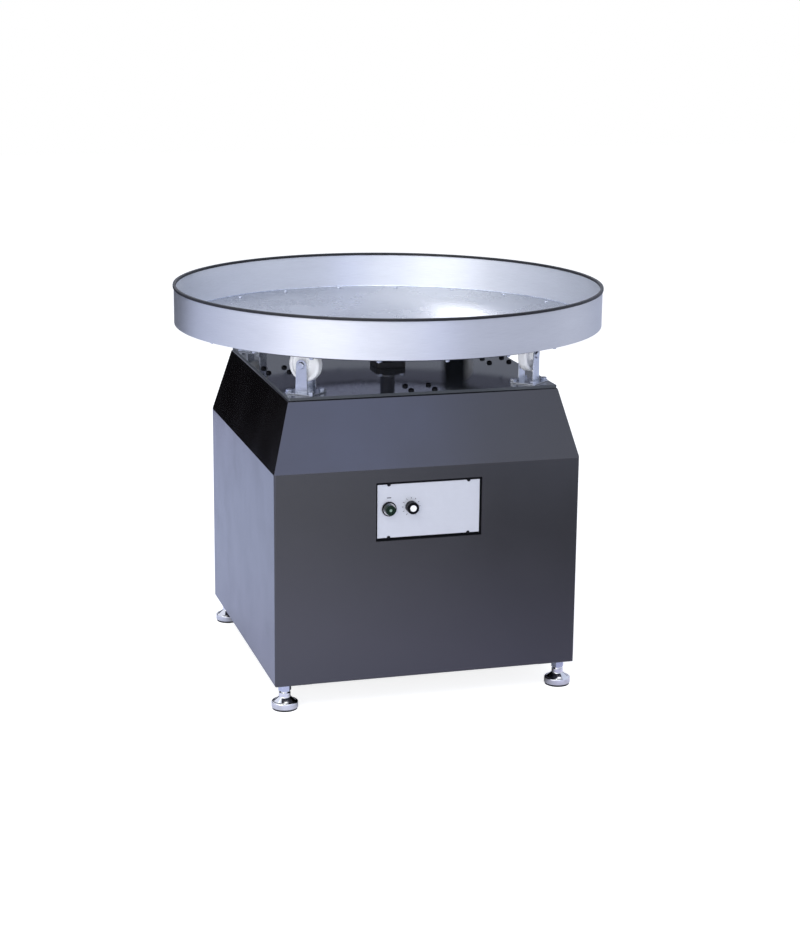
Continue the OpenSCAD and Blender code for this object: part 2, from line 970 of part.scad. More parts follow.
module coupling_spider() {
    height = jaw_h - 2 * jaw_gap;
    color([0.75, 0.3, 0.15])
        translate([0, 0, jaw_low + jaw_gap])
            difference() {
                union() {
                    cylinder(h = height, d = jaw_in_d - 2 * jaw_gap);
                    for (i = [0 : 5])
                        rotate([0, 0, 30 + i * 60])
                            translate([0, -spider_leg_w / 2, 0])
                                cube([coupling_d / 2 - 2 * jaw_gap, spider_leg_w, height]);
                }
                translate([0, 0, -over])
                    cylinder(h = height + 2 * over, d = spider_bore);
            }
}

// Bracket, gear case and motor.

module motor_bracket() {
    depth = case_front + case_rear + 2 * bracket_edge;
    height = deck_low - bracket_low;
    span = bracket_half_x + bracket_t;
    color([0.3, 0.31, 0.34])
        difference() {
            translate([0, case_rear + bracket_edge, bracket_low])
                rotate([90, 0, 0])
                    linear_extrude(height = depth)
                        polygon([[-span, 0], [span, 0], [span, height], [bracket_half_x, height],
                            [bracket_half_x, bracket_t], [-bracket_half_x, bracket_t],
                            [-bracket_half_x, height], [-span, height]]);
            translate([0, 0, bracket_low - over])
                cylinder(h = bracket_t + 2 * over, d = bracket_hole_d);
            translate([0, case_mid, bracket_low - over])
                at_rectangle(case_bolt_x, case_bolt_y)
                    cylinder(h = bracket_t + 2 * over, d = drive_bolt_d + bolt_fit);
        }
}

// Plan of the gear case, taken in by a margin on every side.
module case_plan(margin, corner_r) {
    translate([0, case_mid])
        polygon(round_rect(2 * (case_half_x - margin), case_front + case_rear - 2 * margin, corner_r));
}

module case_bolt_holes(low, h) {
    translate([0, case_mid, low])
        at_rectangle(case_bolt_x, case_bolt_y)
            cylinder(h = h, d = drive_bolt_d + bolt_fit);
}

module gear_case() {
    height = case_top_t + case_cavity_h;
    color([0.62, 0.64, 0.67])
        difference() {
            union() {
                difference() {
                    translate([0, 0, cavity_low])
                        linear_extrude(height = height)
                            case_plan(0, case_corner_r);
                    translate([0, 0, cavity_low - over])
                        linear_extrude(height = case_cavity_h + over)
                            case_plan(case_wall, case_corner_r - case_wall);
                }
                translate([0, case_mid, cavity_low])
                    at_rectangle(case_bolt_x, case_bolt_y)
                        cylinder(h = case_cavity_h + case_top_t / 2, d = case_boss_d);
            }
            case_bolt_holes(cavity_low - over, height + 2 * over);
            translate([0, 0, cavity_low])
                cylinder(h = height + over, d = shaft_d + 2 * run_fit);
            translate([0, gear_distance, cavity_low])
                cylinder(h = case_cavity_h + journal_h + over, d = rotor_shaft_d + 2 * run_fit);
        }
}

module gear_case_cover() {
    color([0.58, 0.6, 0.63])
        difference() {
            translate([0, 0, cover_low])
                linear_extrude(height = case_cover_t)
                    case_plan(0, case_corner_r);
            case_bolt_holes(cover_low - over, case_cover_t + 2 * over);
            translate([0, 0, cover_low + case_cover_t - journal_h - over])
                cylinder(h = journal_h + 2 * over, d = shaft_d + 2 * run_fit);
            translate([0, gear_distance, cover_low - over])
                cylinder(h = case_cover_t + 2 * over, d = rotor_shaft_d + 2 * run_fit);
        }
}

module output_shaft() {
    low = cover_low + case_cover_t - journal_h;
    high = jaw_low - shaft_end_gap;
    color([0.7, 0.71, 0.73])
        translate([0, 0, low])
            cylinder(h = high - low, d = shaft_d);
}

// Involute of an angle, in degrees.
function involute(a) = tan(a) * 180 / PI - a;

// Half the angle that a tooth takes up at radius r.
function tooth_half(teeth, r) =
    let (pitch_r = gear_module * teeth / 2, base_r = pitch_r * cos(pressure_angle))
    let (slack = tooth_slack / pitch_r * 180 / PI)
    90 / teeth - slack + involute(pressure_angle) - involute(acos(base_r / max(r, base_r)));

// Outline of a spur gear with one tooth on the X axis.
function gear_outline(teeth) =
    let (pitch_r = gear_module * teeth / 2)
    let (tip_r = pitch_r + gear_module * addendum_share, root_r = pitch_r - gear_module * dedendum_share)
    let (start_r = max(root_r, pitch_r * cos(pressure_angle)))
    let (radii = [root_r, each [for (i = [0 : flank_steps]) start_r + (tip_r - start_r) * i / flank_steps]])
    [for (tooth = [0 : teeth - 1]) each [
        each [for (r = radii) polar(r, tooth * 360 / teeth - tooth_half(teeth, r))],
        each [for (i = [len(radii) - 1 : -1 : 0])
            polar(radii[i], tooth * 360 / teeth + tooth_half(teeth, radii[i]))]
    ]];

module output_gear() {
    color([0.6, 0.58, 0.5])
        translate([0, 0, cavity_low + gear_lift])
            difference() {
                rotate([0, 0, 90])
                    linear_extrude(height = gear_w)
                        polygon(gear_outline(gear_teeth));
                translate([0, 0, -over])
                    cylinder(h = gear_w + 2 * over, d = shaft_d + run_fit);
            }
}

// Rotor: one shaft from the motor's end bearing to the case, with the core and the pinion on it.
module motor_rotor() {
    low = motor_low + motor_end_t - journal_h;
    high = cavity_top + journal_h;
    pinion_low = cavity_low + gear_lift - (pinion_w - gear_w) / 2;
    core_low = motor_low + (motor_h - rotor_h) / 2;
    color([0.55, 0.5, 0.45])
        translate([0, gear_distance, 0])
            union() {
                translate([0, 0, low])
                    cylinder(h = high - low, d = rotor_shaft_d);
                translate([0, 0, core_low])
                    cylinder(h = rotor_h, d = rotor_d);
                translate([0, 0, pinion_low])
                    rotate([0, 0, 180 / pinion_teeth - 90])
                        linear_extrude(height = pinion_w)
                            polygon(gear_outline(pinion_teeth));
            }
}

module motor_housing() {
    color([0.2, 0.22, 0.26])
        translate([0, gear_distance, 0])
            difference() {
                union() {
                    translate([0, 0, motor_low])
                        cylinder(h = motor_h, d = motor_d);
                    translate([0, 0, motor_lead_z])
                        rotate([90, 0, 0])
                            cylinder(h = motor_d / 2 + lead_boss_len, d = lead_boss_d);
                }
                translate([0, 0, motor_low + motor_end_t])
                    cylinder(h = motor_h, d = rotor_d + 2 * rotor_gap);
                translate([0, 0, motor_low + motor_end_t - journal_h - roll_gap])
                    cylinder(h = journal_h + over, d = rotor_shaft_d + 2 * run_fit);
            }
}

// Controls.

module control_plate() {
    color([0.79, 0.81, 0.87])
        facing_front(0, enclosure_face, control_mid)
            difference() {
                linear_extrude(height = control_plate_t)
                    polygon(round_rect(control_w, control_h, edge_chamfer));
                translate([button_x, button_lift, -over])
                    cylinder(h = control_plate_t + 2 * over, d = button_d + 2 * bezel_wall + bolt_fit);
                translate([knob_x, knob_lift, -over])
                    cylinder(h = control_plate_t + 2 * over, d = pot_bush_d + bolt_fit);
                translate([0, 0, -over])
                    at_rectangle(control_screw_x, control_h)
                        cylinder(h = control_plate_t + 2 * over, d = panel_notch_d);
            }
}

// Black frame between the front panel and the enclosure.
module control_gasket() {
    color([0.05, 0.05, 0.06])
        facing_front(0, enclosure_face, control_mid)
            linear_extrude(height = half_w - sheet_t + enclosure_face)
                difference() {
                    square([window_w + 2 * gasket_border, window_h + 2 * gasket_border], center = true);
                    square([window_w, window_h], center = true);
                }
}

module control_enclosure() {
    outer = [window_w + 2 * gasket_border, window_h + 2 * gasket_border];
    inner = outer - 2 * [enclosure_wall, enclosure_wall];
    color([0.07, 0.07, 0.08])
        facing_front(0, enclosure_back, control_mid)
            difference() {
                linear_extrude(height = enclosure_depth)
                    square(outer, center = true);
                translate([0, 0, enclosure_wall])
                    linear_extrude(height = enclosure_depth - 2 * enclosure_wall)
                        square(inner, center = true);
                translate([0, 0, enclosure_depth - enclosure_wall - over]) {
                    translate([button_x, button_lift, 0])
                        cylinder(h = enclosure_wall + 2 * over, d = button_d + 2 * bezel_wall + bolt_fit);
                    translate([knob_x, knob_lift, 0])
                        cylinder(h = enclosure_wall + 2 * over, d = pot_bush_d + bolt_fit);
                    at_rectangle(control_screw_x, control_h)
                        cylinder(h = enclosure_wall + 2 * over, d = panel_screw_d + bolt_fit);
                }
            }
}

// Speed drive: a circuit board on four posts, with its heatsink and capacitor.
module drive_board() {
    fin_step = (heatsink_w - heatsink_fin_t) / (heatsink_fins - 1);
    color([0.12, 0.35, 0.2])
        facing_front(board_x, enclosure_back - enclosure_wall, control_mid)
            union() {
                at_rectangle(board_w - 2 * board_post_d, board_h - 2 * board_post_d)
                    cylinder(h = board_post_h + board_t / 2, d = board_post_d);
                translate([-board_w / 2, -board_h / 2, board_post_h])
                    cube([board_w, board_h, board_t]);
                translate([-heatsink_w, -heatsink_h / 2, board_post_h + board_t / 2])
                    cube([heatsink_w, heatsink_h, board_t / 2 + heatsink_base]);
                for (i = [0 : heatsink_fins - 1])
                    translate([i * fin_step - heatsink_w, -heatsink_h / 2, board_post_h + board_t])
                        cube([heatsink_fin_t, heatsink_h, heatsink_base + heatsink_fin]);
                translate([board_w / 4, 0, board_post_h + board_t / 2])
                    cylinder(h = board_t / 2 + capacitor_h, d = capacitor_d);
            }
}

// Black screws of the control plate and of the rear access cover.
module panel_screws() {
    color([0.06, 0.06, 0.07]) {
        facing_front(0, plate_face, control_mid)
            at_rectangle(control_screw_x, control_h)
                button_screw(panel_screw_d, panel_screw_head, panel_screw_head_h, panel_screw_len);
        facing_rear(0, half_w + cover_t, cover_z)
            at_rectangle(cover_w - cover_lap, cover_h - cover_lap)
                button_screw(panel_screw_d, panel_screw_head, panel_screw_head_h, panel_screw_len);
    }
}

// Ring in front of the plate and a sleeve through it, in which the button slides.
module button_bezel() {
    sleeve_d = button_d + 2 * bezel_wall;
    color([0.8, 0.81, 0.84])
        facing_front(button_x, plate_face, button_z)
            difference() {
                rotate_extrude()
                    polygon(rounded([
                        [0, -bezel_tail],
                        [sleeve_d / 2, -bezel_tail],
                        [sleeve_d / 2, 0],
                        [bezel_d / 2, 0],
                        [bezel_d / 2, bezel_rise],
                        [0, bezel_rise]
                    ], [0, 0, 0, 0, bezel_wall, 0]));
                translate([0, 0, -bezel_tail - over])
                    cylinder(h = bezel_tail + bezel_rise + 2 * over, d = button_d + 2 * run_fit);
            }
}

module push_button() {
    color([0.05, 0.12, 0.08])
        facing_front(button_x, plate_face, button_z)
            rotate_extrude()
                polygon(rounded([
                    [0, -bezel_tail],
                    [button_stem_d / 2, -bezel_tail],
                    [button_stem_d / 2, -button_tail],
                    [button_d / 2, -button_tail],
                    [button_d / 2, button_out],
                    [button_dish_d / 2, button_out],
                    [button_dish_d / 2, button_out - button_dish],
                    [0, button_out - button_dish]
                ], [0, 0, 0, 0, bezel_wall, 0, 0, 0]));
}

module contact_block() {
    front = bezel_tail + button_travel + roll_gap;
    ear = (button_d + 2 * bezel_wall) / 2;
    color([0.3, 0.3, 0.32])
        facing_front(button_x, plate_face, button_z)
            union() {
                translate([-contact_w / 2, -contact_h / 2, -front - contact_l])
                    cube([contact_w, contact_h, contact_l]);
                difference() {
                    translate([0, 0, -front - roll_gap])
                        cylinder(h = front + roll_gap - bezel_tail, r = ear);
                    translate([0, 0, -front])
                        cylinder(h = front, d = button_d + 2 * run_fit);
                }
            }
}

// Fluted knob with its spindle, which turns in the potentiometer's bush.
module speed_knob() {
    spindle = enclosure_wall + control_plate_t + pot_h / 2;
    color([0.05, 0.05, 0.06])
        facing_front(knob_x, plate_face, knob_z)
            difference() {
                union() {
                    rotate_extrude()
                        polygon(rounded([
                            [knob_hollow_d / 2, knob_gap],
                            [knob_d / 2, knob_gap],
                            [knob_d / 2, knob_out],
                            [0, knob_out],
                            [0, knob_gap + knob_hollow],
                            [knob_hollow_d / 2, knob_gap + knob_hollow]
                        ], [0, 0, bezel_wall, 0, 0, 0]));
                    translate([0, 0, -spindle])
                        cylinder(h = spindle + knob_gap + knob_hollow + over, d = knob_spindle_d);
                }
                for (i = [0 : knob_flutes - 1])
                    rotate([0, 0, i * 360 / knob_flutes])
                        translate([knob_d / 2 + knob_flute_d / 4, 0, knob_hollow])
                            cylinder(h = knob_out, d = knob_flute_d);
                translate([0, 0, knob_out - cap_seat])
                    cylinder(h = cap_t, d = cap_d + 2 * run_fit);
            }
}

module knob_cap() {
    color([0.92, 0.93, 0.95])
        facing_front(knob_x, plate_face, knob_z)
            translate([0, 0, knob_out - cap_seat])
                rotate_extrude()
                    polygon(rounded([[0, 0], [cap_d / 2, 0], [cap_d / 2, cap_t], [0, cap_t]],
                        [0, 0, cap_seat, 0]));
}

module potentiometer() {
    wall = enclosure_wall + control_plate_t;
    color([0.45, 0.46, 0.48])
        facing_front(knob_x, plate_face, knob_z)
            difference() {
                union() {
                    translate([0, 0, -wall - pot_h])
                        cylinder(h = pot_h, d = pot_d);
                    translate([0, 0, -wall - pot_h / 2])
                        cylinder(h = wall + pot_h / 2 + pot_bush_rise, d = pot_bush_d);
                }
                translate([0, 0, -wall - pot_h / 2 - roll_gap])
                    cylinder(h = wall + pot_h + over, d = knob_spindle_d + 2 * run_fit);
            }
}

// Turntable.

module rim_screw_holes(h) {
    for (i = [0 : rim_screws - 1])
        rotate([0, 0, i * 360 / rim_screws])
            translate([rim_screw_r, 0, -over])
                cylinder(h = h + 2 * over, d = rim_screw_d + bolt_fit);
}

module table_disc() {
    color([0.72, 0.74, 0.8])
        translate([0, 0, disc_low])
            difference() {
                cylinder(h = disc_t, r = disc_r);
                rim_screw_holes(disc_t);
            }
}

// Flat ring under the table plate that runs on the casters' wheels.
module track_ring() {
    color([0.5, 0.51, 0.54])
        translate([0, 0, track_low])
            difference() {
                cylinder(h = track_t, r = track_r);
                translate([0, 0, -over])
                    cylinder(h = track_t + 2 * over, r = track_r - track_w);
                rim_screw_holes(track_t);
            }
}

module rim_band() {
    color([0.82, 0.84, 0.89])
        translate([0, 0, disc_low])
            ring(table_d, 2 * rim_in_r, rim_top - disc_low);
}

module edge_trim() {
    inner = rim_in_r - trim_wall;
    outer = table_d / 2 + trim_wall;
    top = rim_top + trim_cap;
    color([0.05, 0.05, 0.05])
        rotate_extrude()
            polygon(rounded([
                [inner, top - trim_h],
                [rim_in_r, top - trim_h],
                [rim_in_r, rim_top],
                [table_d / 2, rim_top],
                [table_d / 2, top - trim_h],
                [outer, top - trim_h],
                [outer, top],
                [inner, top]
            ], [0, 0, 0, 0, 0, 0, trim_round, trim_round]));
}

// Screws that hold the table plate on the track ring, with their nuts.
module rim_screws_and_nuts() {
    grip = disc_t + track_t;
    color([0.75, 0.76, 0.8])
        for (i = [0 : rim_screws - 1])
            rotate([0, 0, i * 360 / rim_screws])
                translate([rim_screw_r, 0, disc_top]) {
                    button_screw(rim_screw_d, rim_screw_d * button_d_share, rim_screw_d * button_h_share,
                        grip + rim_screw_d * (nut_h_share + bolt_tail_share));
                    translate([0, 0, -grip])
                        hex_nut(rim_screw_d);
                }
}

// Rear of the cabinet.

module access_cover() {
    first_vent = -(vents - 1) * vent_gap / 2;
    color([0.2, 0.2, 0.23])
        facing_rear(0, half_w, cover_z)
            linear_extrude(height = cover_t)
                difference() {
                    polygon(round_rect(cover_w, cover_h, cover_corner_r));
                    for (i = [0 : vents - 1])
                        translate([0, first_vent + i * vent_gap])
                            polygon(round_rect(vent_w, vent_h, vent_h * vent_round_share));
                    at_rectangle(cover_w - cover_lap, cover_h - cover_lap)
                        circle(d = panel_screw_d + bolt_fit);
                }
}

// Cable gland for the mains supply, with its mouth to the rear.
module supply_gland() {
    gland_top = gland_hex_h + gland_dome_h;
    dome_r = gland_dome_d / 2;
    color([0.1, 0.1, 0.11])
        facing_rear(gland_x, half_w, gland_z)
            difference() {
                union() {
                    hexagon(gland_af, gland_hex_h);
                    rotate_extrude()
                        polygon(rounded([[0, 0], [dome_r, 0], [dome_r, gland_top], [0, gland_top]],
                            [0, 0, gland_dome_r, 0]));
                    translate([0, 0, -sheet_t - gland_nut_h - over])
                        cylinder(h = sheet_t + gland_nut_h + over + gland_hex_h / 2, d = gland_d);
                    translate([0, 0, -sheet_t - gland_nut_h])
                        hexagon(gland_af, gland_nut_h);
                }
                translate([0, 0, gland_top - gland_bore_len])
                    cylinder(h = gland_bore_len + over, d = gland_bore);
            }
}

// Quarter bend of a lead, from straight down to straight back, about its own centre.
module lead_bend(r, d) {
    rotate([0, 90, 0])
        rotate([0, 0, -90])
            rotate_extrude(angle = 90)
                translate([r, 0])
                    circle(d = d);
}

// Lead from the enclosure's underside to the motor, and lead from the gland to the enclosure.
module internal_leads() {
    motor_face = gear_distance - motor_d / 2 - lead_boss_len;
    gland_face = half_w - sheet_t - gland_nut_h - over;
    color([0.15, 0.15, 0.16]) {
        union() {
            translate([0, lead_y, motor_lead_z + motor_bend])
                cylinder(h = enclosure_low - motor_lead_z - motor_bend, d = lead_d);
            translate([0, lead_y + motor_bend, motor_lead_z + motor_bend])
                lead_bend(motor_bend, lead_d);
            translate([0, lead_y + motor_bend, motor_lead_z])
                rotate([-90, 0, 0])
                    cylinder(h = motor_face - lead_y - motor_bend, d = lead_d);
        }
        union() {
            translate([gland_x, lead_y, gland_z + supply_bend])
                cylinder(h = enclosure_low - gland_z - supply_bend, d = supply_lead_d);
            translate([gland_x, lead_y + supply_bend, gland_z + supply_bend])
                lead_bend(supply_bend, supply_lead_d);
            translate([gland_x, lead_y + supply_bend, gland_z])
                rotate([-90, 0, 0])
                    cylinder(h = gland_face - lead_y - supply_bend, d = supply_lead_d);
        }
    }
}

front_panel();
rear_panel();
left_panel();
right_panel();
deck_plate();
corner_plates();
foot_front_left();
foot_front_right();
foot_rear_left();
foot_rear_right();
foot_pad_front_left();
foot_pad_front_right();
foot_pad_rear_left();
foot_pad_rear_right();
foot_lock_nuts();
caster_fork_front_left();
caster_fork_front_right();
caster_fork_rear_left();
caster_fork_rear_right();
caster_wheel_front_left();
caster_wheel_front_right();
caster_wheel_rear_left();
caster_wheel_rear_right();
caster_fasteners();
spare_hole_screws();
bearing_housing();
bearing_outer_ring();
bearing_inner_ring();
drive_bolts();
drive_shaft();
hub_flange();
hub_studs();
coupling_hubs();
coupling_spider();
motor_bracket();
gear_case();
gear_case_cover();
output_shaft();
output_gear();
motor_housing();
motor_rotor();
control_plate();
control_gasket();
control_enclosure();
drive_board();
panel_screws();
button_bezel();
push_button();
contact_block();
speed_knob();
knob_cap();
potentiometer();
table_disc();
track_ring();
rim_band();
edge_trim();
rim_screws_and_nuts();
access_cover();
supply_gland();
internal_leads();
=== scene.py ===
"""Looks of the accumulation table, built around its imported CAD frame. Metres, Z up, front towards -Y."""

import math

import bmesh
import bpy
from mathutils import Matrix, Vector


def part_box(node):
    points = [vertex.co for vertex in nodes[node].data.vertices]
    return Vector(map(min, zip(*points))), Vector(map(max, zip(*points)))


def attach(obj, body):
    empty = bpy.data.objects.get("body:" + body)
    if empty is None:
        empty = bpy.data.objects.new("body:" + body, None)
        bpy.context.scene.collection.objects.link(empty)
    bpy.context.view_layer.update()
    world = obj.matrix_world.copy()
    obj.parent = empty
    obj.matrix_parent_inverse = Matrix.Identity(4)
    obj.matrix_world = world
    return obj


MM = 0.001
RIM_SHEET = 2.5 * MM
LATHE_FACES = 360
KNOB_FACES = 72
ARC_STEPS = 5

# Camera, fitted to the photograph's frame.
IMAGE_LONG_SIDE = 930
SENSOR = 36.0
FOCAL_PX = 2027.1
CAMERA_AT = Vector((-1.1652, -4.1453, 1.4933))
CAMERA_YAW = -16.084
CAMERA_PITCH = -13.912
CAMERA_ROLL = 0.556

# Light levels: a strength of 1 is white.
FILL = (0.42, 0.44, 0.50)
BACKDROP = (1.0, 1.0, 1.0)
REFLECTED_HORIZON = (0.26, 0.28, 0.34)
REFLECTED_FRONT = (0.86, 0.88, 0.98)
REFLECTED_SKY = (0.84, 0.89, 1.09)
REFLECTED_SKY_RIGHT = (0.68, 0.75, 0.99)
HORIZON_TOP = (0.19, 0.30)
FRONT_TURN = (0.6, 0.15)
RIGHT_TURN = (0.25, 0.36)
FLOOR_ALBEDO = (0.55, 0.56, 0.58)
FLOOR_GLOW_SEEN = (0.82, 0.82, 0.82)
FLOOR_GLOW_CENTRE = (-1.5, 1.0)
FLOOR_GLOW_REACH = 5.5
FLOOR_GLOW_STOPS = [(0.17, (0.33, 0.40, 0.70)), (0.41, (0.36, 0.36, 0.62)), (0.60, (0.0, 0.0, 0.03)),
                    (0.90, (0.42, 0.46, 0.64))]
# Painted shade on the floor that only reflections see: how much, and the ranges across the view and towards
# the front over which it rises.
FLOOR_PAINTED_SHADE_SHARE = 0.44
FLOOR_PAINTED_SHADE_ACROSS = (-0.35, 0.15)
FLOOR_PAINTED_SHADE_FRONT = (-0.25, -0.40)
# Painted shadow under the cabinet in the floor's reflected glow: none of the glow within the first half
# size, all of it past the second.
FLOOR_SHADOW_HALF = (0.27, 0.38)
FLOOR_HALF = 12.0

# Narrow card that the deck mirrors, placed in the camera's directions; its reflection is painted shade, a
# dark streak in the deck.
DECK_SHADE_CARD_ACROSS = 0.150
DECK_SHADE_CARD_AWAY = 0.20
DECK_SHADE_CARD_WIDTH = 0.066

# Part of a noise factor's range that carries most of its variation, and a shift of the noise for each use.
NOISE_LOW, NOISE_HIGH = 0.3, 0.7
NOISE_SHIFTS = {"paint": 3.1, "band": 7.7, "disc": 12.4}

# Softened edges: angles in degrees, and the weld's reach in millimetres.
BEVEL_SEGMENTS = 2
BEVEL_ANGLE = 35
WELD_MM = 0.002
FLAT_ANGLE = 0.2

# Left card: its two ends on the ground plan and its top.
LEFT_CARD_START = (-2.6, 2.6, 0)
LEFT_CARD_END = (-0.15, 2.6, 0)
LEFT_CARD_TOP = 0.95

# The button's lighter green middle, a painted highlight, and how much its edge blurs.
CENTRE_HIGHLIGHT_R = 2.9 * MM
CENTRE_HIGHLIGHT_BLUR = 0.15

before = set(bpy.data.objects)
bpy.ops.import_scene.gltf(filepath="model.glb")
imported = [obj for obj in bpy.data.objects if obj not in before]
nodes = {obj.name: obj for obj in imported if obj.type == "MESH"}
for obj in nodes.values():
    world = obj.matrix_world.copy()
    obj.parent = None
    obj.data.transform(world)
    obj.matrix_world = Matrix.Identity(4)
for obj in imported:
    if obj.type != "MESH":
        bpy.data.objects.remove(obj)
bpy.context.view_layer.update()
CORNERS = ("front_left", "front_right", "rear_left", "rear_right")


def clear_default_scene():
    for name in ("Cube", "Light", "Camera"):
        found = bpy.data.objects.get(name)
        if found:
            bpy.data.objects.remove(found)


# Node tree helpers.


class Tree:
    """A material's node tree with its Principled shader."""

    def __init__(self, name):
        self.material = bpy.data.materials.new(name)
        self.material.use_nodes = True
        self.nodes = self.material.node_tree.nodes
        self.links = self.material.node_tree.links
        self.shader = self.nodes["Principled BSDF"]

    def add(self, kind, inputs=None, **settings):
        made = self.nodes.new("ShaderNode" + kind)
        for key, value in settings.items():
            setattr(made, key, value)
        for key, value in (inputs or {}).items():
            self.feed(made, key, value)
        return made

    def feed(self, node, key, value):
        """Sets a socket to a number or colour, or links it when the value is another socket."""
        socket = node.inputs[key]
        if isinstance(value, bpy.types.NodeSocket):
            self.links.new(value, socket)
        else:
            socket.default_value = value

    def set(self, **values):
        for key, value in values.items():
            self.feed(self.shader, key.replace("_", " "), value)

    def coords(self):
        return self.add("TexCoord").outputs["Object"]

    def xyz(self, vector=None):
        return self.add("SeparateXYZ", {0: vector or self.coords()}).outputs

    def math(self, operation, a, b=None):
        made = self.add("Math", {0: a}, operation=operation)
        if b is not None:
            self.feed(made, 1, b)
        return made.outputs[0]

    def length(self, x, y):
        """Length of the hypotenuse over two numbers."""
        squares = (self.math("MULTIPLY", side, side) for side in (x, y))
        return self.math("SQRT", self.math("ADD", *squares))

    def noise(self, scale, detail=4.0, roughness=0.55, stretch=(1, 1, 1), vector=None, offset=0.0):
        mapped = self.add("Mapping", {"Vector": vector or self.coords(), "Scale": stretch,
                                      "Location": (offset, offset, offset)})
        made = self.add("TexNoise", {"Vector": mapped.outputs[0], "Scale": scale, "Detail": detail,
                                     "Roughness": roughness})
        return made.outputs["Fac"]

    def ramp(self, factor, stops):
        made = self.add("ValToRGB", {"Fac": factor})
        elements = made.color_ramp.elements
        for end, (position, colour) in zip((elements[0], elements[1]), (stops[0], stops[-1])):
            end.position, end.color = position, rgba(colour)
        for position, colour in stops[1:-1]:
            elements.new(position).color = rgba(colour)
        return made.outputs["Color"]

    def tones(self, factor, colour, dark, light):
        """The colour in a darker and a lighter shade, by a noise factor."""
        return self.ramp(factor, [(NOISE_LOW, shade(colour, dark)), (NOISE_HIGH, shade(colour, light))])

    def mix(self, factor, near, far):
        """Colour that goes from near to far with the factor."""
        return self.add("Mix", {"Factor": factor, 6: near, 7: far}, data_type="RGBA").outputs[2]

    def span(self, factor, low, high):
        """Maps a noise factor to a range of numbers."""
        made = self.add("MapRange", {"Value": factor, "From Min": NOISE_LOW, "From Max": NOISE_HIGH,
                                     "To Min": low, "To Max": high})
        return made.outputs[0]

    def share(self, value, start, end):
        """Rises from 0 to 1 as the value goes from start to end."""
        return self.add("MapRange", {"Value": value, "From Min": start, "From Max": end}).outputs[0]

    def bump(self, height, strength, distance, base=None):
        made = self.add("Bump", {"Height": height, "Strength": strength, "Distance": distance})
        if base is not None:
            self.feed(made, "Normal", base)
        return made.outputs[0]

    def around_z(self, along, across):
        """Coordinates that run round the Z axis: arc length and height, each with its own scale."""
        x, y, z = self.xyz()
        angle = self.math("ARCTAN2", y, x)
        return self.add("CombineXYZ", {0: self.math("MULTIPLY", angle, along),
                                       1: self.math("MULTIPLY", z, across)}).outputs[0]


def rgba(colour):
    if isinstance(colour, (int, float)):
        return (colour, colour, colour, 1.0)
    return (*colour, 1.0)


def shade(colour, factor):
    return tuple(min(1.0, c * factor) for c in colour)


# Materials.


def paint(name, colour, roughness=0.2, ior=1.7, peel=0.10, matt_beyond=None):
    """Sprayed enamel with clouding, orange peel and dust in the gloss; matt past a distance from Z."""
    t = Tree(name)
    cloud = t.noise(5.0, 3.0, offset=NOISE_SHIFTS["paint"])
    fine = t.noise(420.0, 2.0)
    rough = t.span(t.noise(9.0, 5.0, 0.6), roughness * 0.85, roughness * 1.2)
    if matt_beyond:
        x, y, _ = t.xyz()
        out = t.math("MAXIMUM", t.math("ABSOLUTE", x), t.math("ABSOLUTE", y))
        rough = t.math("MAXIMUM", rough, t.share(out, matt_beyond - 0.1 * MM, matt_beyond))
    tones = [(0.3, shade(colour, 0.8)), (0.55, colour), (0.75, shade(colour, 1.3))]
    t.set(Base_Color=t.ramp(cloud, tones),
          Roughness=rough, IOR=ior,
          Normal=t.bump(fine, peel, 0.15 * MM))
    return t.material


def brushed_band(name, colour, roughness, inside=1.0):
    """Sheet brushed round the rim, with long hairlines; its inner side is lighter by a factor, painted
    light.
    """
    t = Tree(name)
    hairs = t.noise(1.0, 6.0, 0.7, vector=t.around_z(14.0, 1600.0))
    wide = t.noise(1.0, 3.0, 0.5, vector=t.around_z(3.0, 40.0), offset=NOISE_SHIFTS["band"])
    tint = t.mix(0.35, t.tones(hairs, colour, 0.86, 1.1), t.tones(wide, colour, 0.94, 1.05))
    x, y, _ = t.xyz()
    radius = t.length(x, y)
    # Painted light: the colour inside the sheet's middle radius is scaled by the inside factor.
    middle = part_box("rim_band")[1].x - RIM_SHEET / 2
    painted_inner_light = t.add("MapRange", {"Value": radius, "From Min": middle - 0.1 * MM, "From Max": middle + 0.1 * MM,
                              "To Min": inside, "To Max": 1.0}).outputs[0]
    lit = t.add("VectorMath", {0: tint, "Scale": painted_inner_light}, operation="SCALE")
    t.set(Base_Color=lit.outputs[0], Metallic=1.0,
          Roughness=t.span(hairs, roughness * 0.85, roughness * 1.2),
          Anisotropic=0.75,
          Anisotropic_Rotation=0.25,
          Tangent=t.add("Tangent", direction_type="RADIAL", axis="Z").outputs[0],
          Normal=t.bump(hairs, 0.12, 0.05 * MM))
    return t.material


def rolled_plate(name, colour, roughness):
    """Flat plate with a straight rolling grain and a few light scuffs."""
    t = Tree(name)
    grain = t.noise(160.0, 6.0, 0.65, stretch=(0.05, 1.0, 1.0))
    scuffs = t.noise(7.0, 5.0, 0.7, stretch=(1.0, 0.6, 1.0), offset=NOISE_SHIFTS["disc"])
    scuffed = t.ramp(scuffs, [(0.35, shade(colour, 0.92)), (0.7, shade(colour, 1.06))])
    t.set(Base_Color=t.mix(0.5, t.tones(grain, colour, 0.9, 1.06), scuffed), Metallic=1.0,
          Roughness=t.span(scuffs, roughness * 0.85, roughness * 1.25),
          Anisotropic=0.5,
          Tangent=t.add("Tangent", direction_type="RADIAL", axis="X").outputs[0],
          Normal=t.bump(grain, 0.10, 0.05 * MM))
    return t.material


